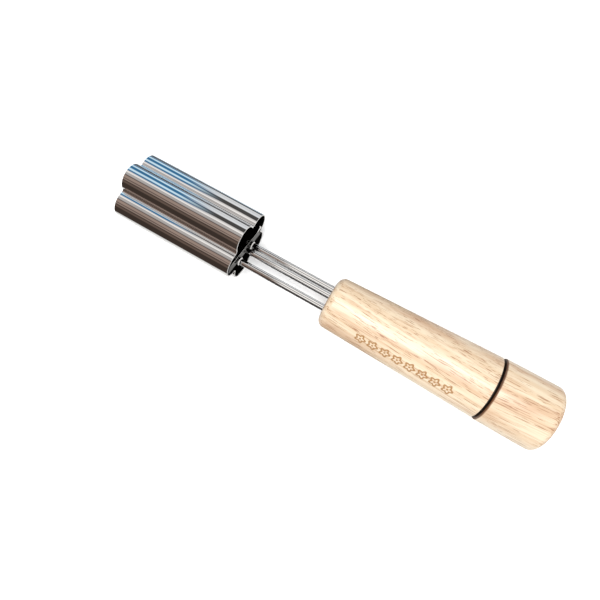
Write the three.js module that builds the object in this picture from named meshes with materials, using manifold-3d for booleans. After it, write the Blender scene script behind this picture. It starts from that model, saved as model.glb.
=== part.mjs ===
// A hand-held plunger cutter that stamps five-petal butter pats.
//
// A thin steel flower tube is carried on two fixed rods in front of a turned wooden grip.
// A third rod runs through the grip, with a wooden push knob on its rear end and a flower
// plate on its front end. Pressing the cutter into butter drives the plate and the knob
// back; pressing the knob home again ejects the pat. The tube sits a little to one side of
// the grip, and all three rods lie in the plane of the strap across the tube's rear mouth.
//
// Units are millimetres. The pieces are made about the grip's axis, with +X from the cutting
// rim to the knob. The tool lies level on two petals and its knob, with +Z up and the origin
// under the middle of its box.

import * as THREE from 'three';
import { mergeVertices } from 'three/addons/utils/BufferGeometryUtils.js';
import Module from 'manifold-3d';

// Driving dimensions
const TOTAL_LENGTH = 210;
const SLEEVE_LENGTH = 60.3;
const ROD_SPAN = 44.4; // rods in view between the sleeve and the grip
const GRIP_LENGTH = 76.8;
const KNOB_GAP = 1.1; // between the grip and the knob when the knob is home

const PETALS = 5;
const PETAL_CENTRE = 10.25; // from the flower's axis to the centre of a petal's arc
const PETAL_RADIUS = 6.72;
const VALLEY_RADIUS = 1.2; // fold between two petals
const SLEEVE_WALL = 0.5;
const FLOWER_OFFSET = 2.8; // of the flower's axis from the grip's, towards +Y

const ROD_DIAMETER = 3;
const UPPER_ROD_OFFSET = 2.6; // from the flower's axis towards a valley
const PLUNGER_ROD_OFFSET = 1.15; // from the flower's axis towards the petal opposite that valley
const LOWER_ROD_OFFSET = 8.1; // the same way
const ROD_SOCKET_DEPTH = 30; // fixed rods inside the grip

const GRIP_FRONT_RADIUS = 11.9;
const GRIP_REAR_RADIUS = 14.35;
const GRIP_EDGE_ROUND = 3.4;
const KNOB_FRONT_RADIUS = 14.65;
const KNOB_CHAMFER = 0.5;
const KNOB_EDGE_ROUND = 3.2;

const STRAP_WIDTH = 4.4;
const STRAP_SHEET = 0.8;
const STRAP_FLANGE_LENGTH = 6;
const TENON_RADIUS = 0.9; // turned-down rod end that goes through the strap
const TENON_HEAD_RADIUS = 1.6;
const TENON_HEAD_THICKNESS = 0.7;
const COLLAR_BORE = 1.65;
const COLLAR_RADIUS = 2;
const COLLAR_THICKNESS = 1.2;

const PLATE_RECESS = 2; // flower plate behind the cutting rim when the knob is home
const PLATE_THICKNESS = 1.2;
const PLATE_CLEARANCE = 0.8;
const HUB_RADIUS = 3.5;
const HUB_LENGTH = 5;
const HUB_THREAD_LENGTH = 2.2; // of the rod from behind, and of the screw from in front
const SCREW_HEAD_RADIUS = 2.4;
const SCREW_HEAD_THICKNESS = 0.9;
const SCREW_SHANK_RADIUS = 1.1;

const BUSH_RADIUS = 3;
const BUSH_LENGTH = 12;
const INSERT_RADIUS = 3.2;
const INSERT_LENGTH = 13;
const BUFFER_OUTER_RADIUS = 12.9;
const BUFFER_INNER_RADIUS = 9;

const FIT_GAP = 0.3; // between two pieces that touch

// Worked out from the driving dimensions
const ROD_RADIUS = ROD_DIAMETER / 2;
const BORE_RADIUS = ROD_RADIUS + FIT_GAP;
const HALF_PETAL_ANGLE = Math.PI / PETALS;
const KNOB_RADIUS = PETAL_CENTRE * Math.cos(HALF_PETAL_ANGLE) + PETAL_RADIUS; // keeps the axis level
const GRIP_START = SLEEVE_LENGTH + ROD_SPAN;
const GRIP_END = GRIP_START + GRIP_LENGTH;
const KNOB_START = GRIP_END + KNOB_GAP;
const INSERT_END = KNOB_START + INSERT_LENGTH;
const PLATE_REAR = PLATE_RECESS + PLATE_THICKNESS;
const HUB_START = PLATE_REAR + FIT_GAP;
const HUB_END = HUB_START + HUB_LENGTH;
const STRAP_START = SLEEVE_LENGTH - STRAP_SHEET;
const UP = Math.PI / 2;
const STRAP_ANGLE = UP + 2 * HALF_PETAL_ANGLE; // the petal that the strap starts from
const FLOWER_HALF_WIDTH = PETAL_CENTRE * Math.cos(HALF_PETAL_ANGLE / 2) + PETAL_RADIUS;
const BOX_MIDDLE = (FLOWER_OFFSET + FLOWER_HALF_WIDTH - KNOB_RADIUS) / 2;

// Lines along X, by their distances across and up from the grip's axis
const flowerLine = { across: FLOWER_OFFSET, up: 0 };
const upperRodLine = strapLine(-UPPER_ROD_OFFSET);
const plungerLine = strapLine(PLUNGER_ROD_OFFSET);
const lowerRodLine = strapLine(LOWER_ROD_OFFSET);

const ROUND_SEGMENTS = 48;
const ROD_SEGMENTS = 20;
const PETAL_SEGMENTS = 14;
const VALLEY_SEGMENTS = 4;
const EDGE_SEGMENTS = 5;

const wasm = await Module();
wasm.setup();

const steel = { color: 0xc9ccd0, roughness: 0.08, metalness: 1 };
const rodSteel = { color: 0xd2d4d6, roughness: 0.15, metalness: 1 };
const rubberwood = { color: 0xe0bd8c, roughness: 0.5, metalness: 0 };
const brass = { color: 0xc9a24a, roughness: 0.3, metalness: 1 };
const blackRubber = { color: 0x17130f, roughness: 0.7, metalness: 0 };
const nylon = { color: 0xe6e3da, roughness: 0.45, metalness: 0 };

// Solids and the geometries they come from

function toSolid(geometry) {
  const bare = geometry.clone();
  bare.deleteAttribute('normal');
  bare.deleteAttribute('uv');
  const merged = mergeVertices(bare, 1e-4);
  const vertProperties = new Float32Array(merged.attributes.position.array);
  const triVerts = new Uint32Array(merged.index.array);
  return new wasm.Manifold(new wasm.Mesh({ numProp: 3, vertProperties, triVerts }));
}

function toGeometry(solid) {
  const mesh = solid.getMesh();
  const geometry = new THREE.BufferGeometry();
  geometry.setAttribute('position', new THREE.BufferAttribute(mesh.vertProperties, 3));
  geometry.setIndex(new THREE.BufferAttribute(mesh.triVerts, 1));
  geometry.computeVertexNormals();
  return geometry;
}

// The line at a distance from the flower's axis towards the strap's petal.
function strapLine(distance) {
  return {
    across: FLOWER_OFFSET + distance * Math.cos(STRAP_ANGLE),
    up: distance * Math.sin(STRAP_ANGLE),
  };
}

// Moves a geometry from the grip's axis to another line.
function along(line, geometry) {
  return geometry.translate(0, line.across, line.up);
}

// Turns a profile of [radius, x] pairs about the grip's axis.
function turned(profile, segments = ROUND_SEGMENTS) {
  const points = profile.map(([radius, x]) => new THREE.Vector2(radius, x));
  return new THREE.LatheGeometry(points, segments).rotateZ(-UP);
}

function rod(radius, start, end) {
  return turned([[0, start], [radius, start], [radius, end], [0, end]], ROD_SEGMENTS);
}

function ring(inner, outer, start, end, segments = ROUND_SEGMENTS) {
  const profile = [[inner, start], [outer, start], [outer, end], [inner, end], [inner, start]];
  return turned(profile, segments);
}

// Extrudes a shape, drawn with Y to the right and Z up, along +X.
function extrudedAlongX(shape, start, length) {
  const geometry = new THREE.ExtrudeGeometry(shape, { depth: length, bevelEnabled: false });
  const crossSection = new THREE.Matrix4().makeBasis(
    new THREE.Vector3(0, 1, 0),
    new THREE.Vector3(0, 0, 1),
    new THREE.Vector3(1, 0, 0),
  );
  return geometry.applyMatrix4(crossSection).translate(start, 0, 0);
}

function arc(centreDistance, centreAngle, radius, from, to, segments) {
  const points = [];
  for (let i = 0; i < segments; i += 1) {
    const angle = from + ((to - from) * i) / segments;
    points.push(new THREE.Vector2(
      centreDistance * Math.cos(centreAngle) + radius * Math.cos(angle),
      centreDistance * Math.sin(centreAngle) + radius * Math.sin(angle),
    ));
  }
  return points;
}

// The flower's outline, moved inwards by inset: petal arcs joined by small rounded folds.
function flowerOutline(inset) {
  const reach = PETAL_RADIUS + VALLEY_RADIUS;
  const halfChord = PETAL_CENTRE * Math.sin(HALF_PETAL_ANGLE);
  const foldDistance = PETAL_CENTRE * Math.cos(HALF_PETAL_ANGLE) + Math.sqrt(reach ** 2 - halfChord ** 2);
  const foldAcross = foldDistance * Math.sin(HALF_PETAL_ANGLE);
  const foldAlong = foldDistance * Math.cos(HALF_PETAL_ANGLE) - PETAL_CENTRE;
  const sweep = Math.atan2(foldAcross, foldAlong);
  const points = [];
  for (let petal = 0; petal < PETALS; petal += 1) {
    const angle = UP + petal * 2 * HALF_PETAL_ANGLE;
    const fold = angle + HALF_PETAL_ANGLE;
    const turn = angle + sweep + Math.PI;
    const foldTurn = 2 * (HALF_PETAL_ANGLE - sweep);
    points.push(
      ...arc(PETAL_CENTRE, angle, PETAL_RADIUS - inset, angle - sweep, angle + sweep, PETAL_SEGMENTS),
      ...arc(foldDistance, fold, VALLEY_RADIUS + inset, turn, turn + foldTurn, VALLEY_SEGMENTS),
    );
  }
  return points;
}

function flowerPlate(inset, start, length) {
  return along(flowerLine, extrudedAlongX(new THREE.Shape(flowerOutline(inset)), start, length));
}

function flowerTube(outerInset, innerInset, start, length) {
  const shape = new THREE.Shape(flowerOutline(outerInset));
  shape.holes.push(new THREE.Path(flowerOutline(innerInset)));
  return along(flowerLine, extrudedAlongX(shape, start, length));
}

// Pieces of the fixed body

function strapGeometry() {
  const wallFace = SLEEVE_WALL + FIT_GAP;
  const strip = new THREE.BoxGeometry(STRAP_FLANGE_LENGTH, 4 * PETAL_CENTRE, STRAP_WIDTH)
    .rotateX(STRAP_ANGLE)
    .translate(SLEEVE_LENGTH - STRAP_FLANGE_LENGTH / 2, 0, 0);
  const bridge = toSolid(flowerPlate(wallFace, STRAP_START, STRAP_SHEET));
  const flanges = toSolid(
    flowerTube(wallFace, wallFace + STRAP_SHEET, SLEEVE_LENGTH - STRAP_FLANGE_LENGTH, STRAP_FLANGE_LENGTH),
  );
  const hole = (line, radius) => toSolid(along(line, rod(radius, STRAP_START - 1, SLEEVE_LENGTH + 1)));
  return toGeometry(
    bridge
      .add(flanges)
      .intersect(toSolid(along(flowerLine, strip)))
      .subtract(hole(plungerLine, BORE_RADIUS))
      .subtract(hole(upperRodLine, TENON_RADIUS + FIT_GAP))
      .subtract(hole(lowerRodLine, TENON_RADIUS + FIT_GAP)),
  );
}

// A fixed rod: peened head, tenon through the strap, and the full rod into the grip.
function supportRod(line) {
  const headEnd = STRAP_START - FIT_GAP;
  const shoulder = SLEEVE_LENGTH + FIT_GAP;
  const profile = [
    [0, headEnd - TENON_HEAD_THICKNESS],
    [TENON_HEAD_RADIUS * 0.6, headEnd - TENON_HEAD_THICKNESS],
    [TENON_HEAD_RADIUS, headEnd - TENON_HEAD_THICKNESS / 2],
    [TENON_HEAD_RADIUS, headEnd],
    [TENON_RADIUS, headEnd],
    [TENON_RADIUS, shoulder],
    [ROD_RADIUS, shoulder],
    [ROD_RADIUS, GRIP_START + ROD_SOCKET_DEPTH],
    [0, GRIP_START + ROD_SOCKET_DEPTH],
  ];
  return along(line, turned(profile, ROD_SEGMENTS));
}

function rodCollar(line) {
  const start = SLEEVE_LENGTH + FIT_GAP;
  return along(line, ring(COLLAR_BORE, COLLAR_RADIUS, start, start + COLLAR_THICKNESS, ROD_SEGMENTS));
}

// Points of a quarter round on an outside edge, from one face to the next, as [radius, x].
function roundedEdge(radius, x, round, facingFront) {
  const points = [];
  for (let i = 0; i <= EDGE_SEGMENTS; i += 1) {
    const angle = (i / EDGE_SEGMENTS) * (Math.PI / 2);
    const out = facingFront ? Math.sin(angle) : Math.cos(angle);
    const along = facingFront ? -Math.cos(angle) : Math.sin(angle);
    const centre = facingFront ? x + round : x - round;
    points.push([radius - round + round * out, centre + round * along]);
  }
  return points;
}

function gripGeometry() {
  const blank = toSolid(turned([
    [0, GRIP_START],
    ...roundedEdge(GRIP_FRONT_RADIUS, GRIP_START, GRIP_EDGE_ROUND, true),
    [GRIP_REAR_RADIUS, GRIP_END],
    [0, GRIP_END],
  ]));
  const bore = along(plungerLine, rod(BORE_RADIUS, GRIP_START - 1, GRIP_END + 1));
  const seatStart = GRIP_END - BUSH_LENGTH - FIT_GAP;
  const bushSeat = along(plungerLine, rod(BUSH_RADIUS + FIT_GAP, seatStart, GRIP_END + 1));
  const socketEnd = GRIP_START + ROD_SOCKET_DEPTH + FIT_GAP;
  const socket = (line) => toSolid(along(line, rod(BORE_RADIUS, GRIP_START - 1, socketEnd)));
  return toGeometry(
    blank
      .subtract(toSolid(bore))
      .subtract(toSolid(bushSeat))
      .subtract(socket(upperRodLine))
      .subtract(socket(lowerRodLine)),
  );
}

// Pieces of the sliding body

function plateGeometry() {
  const flower = toSolid(flowerPlate(SLEEVE_WALL + PLATE_CLEARANCE, PLATE_RECESS, PLATE_THICKNESS));
  const screwHole = rod(SCREW_SHANK_RADIUS + FIT_GAP, PLATE_RECESS - 1, PLATE_REAR + 1);
  return toGeometry(flower.subtract(toSolid(along(plungerLine, screwHole))));
}

function plateScrew() {
  const headEnd = PLATE_RECESS - FIT_GAP;
  const profile = [
    [0, headEnd - SCREW_HEAD_THICKNESS],
    [SCREW_HEAD_RADIUS * 0.7, headEnd - SCREW_HEAD_THICKNESS],
    [SCREW_HEAD_RADIUS, headEnd - SCREW_HEAD_THICKNESS / 2],
    [SCREW_HEAD_RADIUS, headEnd],
    [SCREW_SHANK_RADIUS, headEnd],
    [SCREW_SHANK_RADIUS, HUB_START + HUB_THREAD_LENGTH],
    [0, HUB_START + HUB_THREAD_LENGTH],
  ];
  return along(plungerLine, turned(profile, ROD_SEGMENTS));
}

// A ring round the plunger rod, or a piece that the rod runs in.
function plungerRing(inner, outer, start, end) {
  return along(plungerLine, ring(inner, outer, start, end, ROD_SEGMENTS));
}

function plungerRod() {
  return along(plungerLine, rod(ROD_RADIUS, HUB_END - HUB_THREAD_LENGTH, INSERT_END));
}

function knobGeometry() {
  const blank = turned([
    [0, KNOB_START],
    [KNOB_FRONT_RADIUS - KNOB_CHAMFER, KNOB_START],
    [KNOB_FRONT_RADIUS, KNOB_START + KNOB_CHAMFER],
    ...roundedEdge(KNOB_RADIUS, TOTAL_LENGTH, KNOB_EDGE_ROUND, false),
    [0, TOTAL_LENGTH],
  ]);
  const bore = along(plungerLine, rod(INSERT_RADIUS + FIT_GAP, KNOB_START - 1, INSERT_END + FIT_GAP));
  return toGeometry(toSolid(blank).subtract(toSolid(bore)));
}

function bufferRing() {
  const start = GRIP_END + FIT_GAP;
  return ring(BUFFER_INNER_RADIUS, BUFFER_OUTER_RADIUS, start, KNOB_START - FIT_GAP);
}

// The assembly

function piece(name, geometry, finish) {
  const mesh = new THREE.Mesh(geometry, new THREE.MeshStandardMaterial(finish));
  mesh.name = name;
  return mesh;
}

const fixedBody = new THREE.Group();
fixedBody.add(
  piece('cutter_sleeve', flowerTube(0, SLEEVE_WALL, 0, SLEEVE_LENGTH), steel),
  piece('rear_strap', strapGeometry(), steel),
  piece('support_rod_upper', supportRod(upperRodLine), rodSteel),
  piece('support_rod_lower', supportRod(lowerRodLine), rodSteel),
  piece('rod_collar_upper', rodCollar(upperRodLine), steel),
  piece('rod_collar_lower', rodCollar(lowerRodLine), steel),
  piece('grip', gripGeometry(), rubberwood),
  piece('guide_bush', plungerRing(BORE_RADIUS, BUSH_RADIUS, GRIP_END - BUSH_LENGTH, GRIP_END), nylon),
);

const slidingBody = new THREE.Group();
slidingBody.add(
  piece('ejector_plate', plateGeometry(), steel),
  piece('plate_screw', plateScrew(), rodSteel),
  piece('plate_hub', plungerRing(BORE_RADIUS, HUB_RADIUS, HUB_START, HUB_END), steel),
  piece('plunger_rod', plungerRod(), rodSteel),
  piece('buffer_ring', bufferRing(), blackRubber),
  piece('knob_insert', plungerRing(BORE_RADIUS, INSERT_RADIUS, KNOB_START, INSERT_END), brass),
  piece('push_knob', knobGeometry(), rubberwood),
);

const plungerCutter = new THREE.Group();
plungerCutter.add(fixedBody, slidingBody);
plungerCutter.position.set(-TOTAL_LENGTH / 2, -BOX_MIDDLE, KNOB_RADIUS);

export default plungerCutter;
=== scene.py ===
from math import atan2, cos, pi, radians, sin, sqrt, tan, tau

import bmesh
import bpy
from mathutils import Matrix, Vector


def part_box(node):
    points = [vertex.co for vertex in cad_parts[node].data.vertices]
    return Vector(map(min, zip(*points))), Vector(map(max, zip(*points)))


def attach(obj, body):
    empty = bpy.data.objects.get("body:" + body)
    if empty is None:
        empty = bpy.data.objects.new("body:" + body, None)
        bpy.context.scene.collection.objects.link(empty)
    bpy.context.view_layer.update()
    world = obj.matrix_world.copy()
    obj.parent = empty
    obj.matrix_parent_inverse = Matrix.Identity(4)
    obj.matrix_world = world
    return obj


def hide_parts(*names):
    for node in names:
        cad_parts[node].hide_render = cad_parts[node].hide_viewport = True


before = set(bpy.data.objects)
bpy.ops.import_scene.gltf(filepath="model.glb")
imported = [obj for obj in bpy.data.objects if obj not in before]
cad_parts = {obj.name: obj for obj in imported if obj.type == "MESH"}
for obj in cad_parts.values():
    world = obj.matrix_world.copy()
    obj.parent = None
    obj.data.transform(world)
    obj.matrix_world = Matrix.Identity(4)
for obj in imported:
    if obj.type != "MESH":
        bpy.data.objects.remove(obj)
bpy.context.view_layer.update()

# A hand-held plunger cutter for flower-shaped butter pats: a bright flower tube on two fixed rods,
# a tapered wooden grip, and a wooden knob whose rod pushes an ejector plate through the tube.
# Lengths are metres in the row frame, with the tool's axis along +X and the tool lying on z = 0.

MM = 0.001


def span(node):
    """(start, end, (y, z) of the middle line, outer radius) of a turned CAD node."""
    low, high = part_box(node)
    middle = ((low[1] + high[1]) / 2, (low[2] + high[2]) / 2)
    return low[0], high[0], middle, (high[1] - low[1]) / 2


# Lines along X, as (y, z): the handle's, the flower tube's beside it, and the sliding rod's between
HANDLE_AXIS = span("push_knob")[2]
AXIS_HEIGHT = HANDLE_AXIS[1]
FLOWER_AXIS = (span("cutter_sleeve")[2][0], AXIS_HEIGHT)
PLUNGER_LINE = span("plunger_rod")[2]
ROD_RADIUS = span("plunger_rod")[3]

# The flower's rule, as the tube, the strap and the plate follow it
PETALS = 5
HALF_PETAL = pi / PETALS
FIRST_PETAL = pi / 2  # one petal stands straight up
PETAL_CENTRE = 10.25 * MM  # from the axis to the centre of a petal's arc
PETAL_RADIUS = 6.72 * MM
FOLD_RADIUS = 1.2 * MM  # small rounded fold between two petals
FOLD_DISTANCE = PETAL_CENTRE * cos(HALF_PETAL) + sqrt(
    (PETAL_RADIUS + FOLD_RADIUS) ** 2 - (PETAL_CENTRE * sin(HALF_PETAL)) ** 2
)
PETAL_SWEEP = atan2(FOLD_DISTANCE * sin(HALF_PETAL), FOLD_DISTANCE * cos(HALF_PETAL) - PETAL_CENTRE)
SLEEVE_SHEET = 0.5 * MM
STRAP_TURN = FIRST_PETAL + 2 * HALF_PETAL  # the strap runs from this petal to the fold opposite

SLEEVE_START, SLEEVE_END = span("cutter_sleeve")[:2]
SIDES = 128  # round a turned wooden piece
ROD_SIDES = 48
POLE = 1e-6
SLIDE_CLEARANCE = 0.1 * MM  # between a bore and the rod that slides in it
PRESS_CLEARANCE = 0.04 * MM  # between a bore and what is pressed into it


# Node trees

class Nodes:
    """Adds nodes to one tree. Values that are sockets are linked, and the rest are set."""

    def __init__(self, tree):
        self.tree = tree

    def put(self, socket, value):
        if isinstance(value, bpy.types.NodeSocket):
            self.tree.links.new(value, socket)
        else:
            socket.default_value = value

    def add(self, kind, inputs=None, **settings):
        node = self.tree.nodes.new(kind)
        for name, value in settings.items():
            setattr(node, name, value)
        for name, value in (inputs or {}).items():
            self.put(node.inputs[name], value)
        return node

    def math(self, operation, *values, clamp=False):
        node = self.add("ShaderNodeMath", operation=operation, use_clamp=clamp)
        for socket, value in zip(node.inputs, values):
            self.put(socket, value)
        return node.outputs[0]

    def ease(self, value, start, end, low=0.0, high=1.0):
        """low before start, high after end, and a smooth step between them."""
        inputs = {"Value": value, "From Min": start, "From Max": end, "To Min": low, "To Max": high}
        return self.add("ShaderNodeMapRange", inputs, interpolation_type="SMOOTHSTEP").outputs["Result"]

    def mix(self, factor, first, second, blend="MIX"):
        """Mixes two colours."""
        node = self.add("ShaderNodeMix", data_type="RGBA", blend_type=blend)
        self.put(node.inputs[0], factor)
        self.put(node.inputs[6], first)
        self.put(node.inputs[7], second)
        return node.outputs[2]

    def noise(self, vector, scale, detail=2.0, roughness=0.5, distortion=0.0):
        inputs = {
            "Vector": vector,
            "Scale": scale,
            "Detail": detail,
            "Roughness": roughness,
            "Distortion": distortion,
        }
        return self.add("ShaderNodeTexNoise", inputs).outputs["Fac"]

    def stretched(self, vector, place=(0, 0, 0), turn=(0, 0, 0), scale=(1, 1, 1)):
        inputs = {"Vector": vector, "Location": place, "Rotation": turn, "Scale": scale}
        return self.add("ShaderNodeMapping", inputs).outputs["Vector"]

    def parts(self, vector):
        return self.add("ShaderNodeSeparateXYZ", {"Vector": vector}).outputs


def paint(red, green, blue):
    """A paint-chart colour, 0 to 255, as the linear colour that shaders use."""
    def linear(value):
        value /= 255
        return value / 12.92 if value <= 0.04045 else ((value + 0.055) / 1.055) ** 2.4
    return linear(red), linear(green), linear(blue), 1.0


# Materials

def new_material(name):
    """A material with one Principled shader: (material, its nodes, the shader, Object coordinates)."""
    material = bpy.data.materials.new(name)
    material.use_nodes = True
    nodes = Nodes(material.node_tree)
    shader = material.node_tree.nodes["Principled BSDF"]
    place = nodes.add("ShaderNodeTexCoord").outputs["Object"]
    return material, nodes, shader, place


def set_shader(shader, **values):
    for name, value in values.items():
        shader.inputs[name.replace("_", " ").title().replace("Ior", "IOR")].default_value = value


def bump(nodes, shader, height, distance, strength=1.0):
    inputs = {"Height": height, "Distance": distance, "Strength": strength}
    nodes.put(shader.inputs["Normal"], nodes.add("ShaderNodeBump", inputs).outputs["Normal"])


def mirror_steel():
    """Polished sheet: the long fine lines of its rolling, and soft finger marks."""
    material, nodes, shader, place = new_material("mirror_steel")
    set_shader(shader, metallic=1.0)
    smudge = nodes.noise(place, 90.0, detail=3.0)
    rolling = nodes.noise(nodes.stretched(place, scale=(7, 620, 620)), 1.0, detail=3.0, roughness=0.6)
    tone = nodes.mix(nodes.ease(smudge, 0.3, 0.75), paint(251, 251, 251), paint(243, 243, 244))
    nodes.put(shader.inputs["Base Color"], tone)
    haze = nodes.math("MULTIPLY_ADD", nodes.ease(smudge, 0.45, 0.8), 0.02, 0.012)
    nodes.put(shader.inputs["Roughness"], haze)
    bump(nodes, shader, rolling, 0.009 * MM)
    return material


def painted_shade_inside_steel():
    """The unpolished inside of the tube: dulled, and painted near black as painted shade for the dark inside
    of the tube.
    """
    material, nodes, shader, place = new_material("painted_shade_inside_steel")
    set_shader(shader, metallic=1.0)
    dull_film_and_shade = nodes.noise(nodes.stretched(place, scale=(30, 240, 240)), 1.0, detail=4.0)
    # Painted shade: near-black steel, varied at random, stands in for the shadow inside the tube.
    nodes.put(shader.inputs["Base Color"], nodes.mix(dull_film_and_shade, paint(30, 30, 32), paint(58, 57, 57)))
    nodes.put(shader.inputs["Roughness"], nodes.math("MULTIPLY_ADD", dull_film_and_shade, 0.2, 0.25))
    bump(nodes, shader, dull_film_and_shade, 0.01 * MM, 0.4)
    return material


def painted_shade_strap_steel():
    """The strap's faces: painted near black as painted shade, brighter in random blotches."""
    material, nodes, shader, place = new_material("painted_shade_strap_steel")
    set_shader(shader, metallic=1.0)
    shade_blotches = nodes.noise(place, 420.0, detail=4.0, roughness=0.6)
    # Painted shade: the faces are painted near black for the shadow between the rods in the tube's mouth.
    tone = nodes.mix(nodes.ease(shade_blotches, 0.4, 0.75), paint(10, 10, 11), paint(46, 45, 44))
    nodes.put(shader.inputs["Base Color"], tone)
    nodes.put(shader.inputs["Roughness"], nodes.math("MULTIPLY_ADD", shade_blotches, 0.25, 0.12))
    bump(nodes, shader, shade_blotches, 0.01 * MM, 0.4)
    return material


def rod_steel():
    """Bright drawn wire: die lines along its length."""
    material, nodes, shader, place = new_material("rod_steel")
    set_shader(shader, metallic=1.0)
    lines = nodes.noise(nodes.stretched(place, scale=(25, 5200, 5200)), 1.0, detail=3.0)
    wear = nodes.noise(place, 160.0, detail=3.0)
    nodes.put(shader.inputs["Base Color"], nodes.mix(lines, paint(240, 240, 240), paint(252, 252, 252)))
    nodes.put(shader.inputs["Roughness"], nodes.math("MULTIPLY_ADD", wear, 0.06, 0.04))
    bump(nodes, shader, lines, 0.003 * MM, 0.35)
    return material


def black_rubber():
    material, nodes, shader, place = new_material("black_rubber")
    set_shader(shader, metallic=0.0)
    grain = nodes.noise(place, 1800.0, detail=3.0)
    nodes.put(shader.inputs["Base Color"], nodes.mix(grain, paint(12, 10, 9), paint(30, 26, 23)))
    nodes.put(shader.inputs["Roughness"], nodes.math("MULTIPLY_ADD", grain, 0.2, 0.65))
    bump(nodes, shader, grain, 0.03 * MM, 0.5)
    return material


def insert_brass():
    """Turned brass: fine tool rings, and dull patches."""
    material, nodes, shader, place = new_material("insert_brass")
    set_shader(shader, metallic=1.0)
    rings = nodes.noise(nodes.stretched(place, scale=(9000, 300, 300)), 1.0, detail=1.0)
    patch = nodes.noise(place, 300.0, detail=3.0)
    nodes.put(shader.inputs["Base Color"], nodes.mix(patch, paint(206, 168, 92), paint(176, 132, 66)))
    nodes.put(shader.inputs["Roughness"], nodes.math("MULTIPLY_ADD", rings, 0.2, 0.2))
    bump(nodes, shader, rings, 0.01 * MM, 0.5)
    return material


def nylon():
    material, nodes, shader, place = new_material("nylon")
    set_shader(shader, metallic=0.0, subsurface_weight=0.1, subsurface_scale=1 * MM)
    grain = nodes.noise(place, 900.0, detail=3.0)
    nodes.put(shader.inputs["Base Color"], nodes.mix(grain, paint(226, 223, 213), paint(238, 236, 228)))
    nodes.put(shader.inputs["Roughness"], nodes.math("MULTIPLY_ADD", grain, 0.15, 0.38))
    bump(nodes, shader, grain, 0.02 * MM, 0.4)
    return material


WOOD_PALE = paint(216, 199, 173)
WOOD_TAN = paint(201, 174, 141)
WOOD_PINK = paint(186, 150, 118)
WOOD_PORE = paint(142, 96, 62)
WOOD_EDGE = paint(178, 124, 80)
# Painted shade: brown for the knob's front chamfer and the grip's front face, near black for the faces in the
# gap between grip and knob.
PAINTED_SHADE_BROWN = paint(92, 52, 20)
PAINTED_SHADE_BLACK = paint(18, 10, 6)
BURNT_MARK = paint(154, 112, 66)


def wood_grain(nodes, place, block_place, block_turn):
    """Rubberwood cut from a block: growth bands, fibres and short open pores, all running along X.

    Returns (colour, height of the surface from 0 to 1).
    """
    m = nodes.math
    block = nodes.stretched(place, place=block_place, turn=block_turn)
    _, across, up = nodes.parts(block)
    wander = nodes.noise(nodes.stretched(block, scale=(14, 90, 90)), 1.0, detail=2.0)
    from_heart = m("SQRT", m("ADD", m("POWER", across, 2.0), m("POWER", up, 2.0)))
    rings = m("MULTIPLY_ADD", from_heart, 1 / (3.6 * MM), m("MULTIPLY", wander, 2.4))
    band = m("MULTIPLY_ADD", m("SINE", m("MULTIPLY", rings, tau)), 0.5, 0.5)
    fibres = nodes.noise(nodes.stretched(block, scale=(22, 1100, 1100)), 1.0, detail=5.0, roughness=0.65)
    flame = nodes.noise(nodes.stretched(block, scale=(20, 130, 130)), 1.0, detail=3.0)
    colour = nodes.mix(m("MULTIPLY", band, 0.6), WOOD_PALE, WOOD_TAN)
    colour = nodes.mix(nodes.ease(flame, 0.46, 0.7, 0.0, 0.8), colour, WOOD_PINK)
    colour = nodes.mix(nodes.ease(fibres, 0.46, 0.72, 0.0, 0.75), colour, WOOD_PINK)
    threads = nodes.noise(nodes.stretched(block, scale=(9, 1500, 1500)), 1.0, detail=1.0)
    colour = nodes.mix(nodes.ease(threads, 0.66, 0.72, 0.0, 0.5), colour, WOOD_PORE)
    pores = nodes.noise(nodes.stretched(block, scale=(120, 2600, 2600)), 1.0, detail=1.5, distortion=0.2)
    crowding = nodes.ease(m("MULTIPLY_ADD", band, 0.5, flame), 0.45, 1.0, 0.655, 0.565)
    open_pore = nodes.ease(m("SUBTRACT", pores, crowding), 0.0, 0.07)
    colour = nodes.mix(m("MULTIPLY", open_pore, 0.8), colour, WOOD_PORE)
    height = m("SUBTRACT", m("MULTIPLY_ADD", fibres, 0.25, 0.75), m("MULTIPLY", open_pore, 0.6))
    return colour, height


def finish_wood(nodes, shader, colour, height):
    """A satin clear finish, flatter over the pores."""
    set_shader(shader, metallic=0.0, specular_ior_level=0.3, coat_weight=0.7, coat_roughness=0.26)
    nodes.put(shader.inputs["Base Color"], colour)
    nodes.put(shader.inputs["Roughness"], nodes.math("MULTIPLY_ADD", height, -0.22, 0.68))
    bump(nodes, shader, height, 0.05 * MM, 0.5)


# A burnt row of small five-petal flowers along the grip, on the side that faces forward and up
MARK_START = 17.3 * MM  # behind the grip's front end
MARK_LENGTH = 47.0 * MM
MARK_FLOWERS = 8
MARK_ANGLE = radians(144)  # from +Y towards +Z
FLOWER_MEAN_RADIUS = 1.85 * MM
FLOWER_WAVE = 0.45 * MM  # how far its outline moves in and out
FLOWER_LINE = 0.5 * MM  # half the width of the burnt line
FLOWER_EYE = 0.5 * MM


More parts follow.
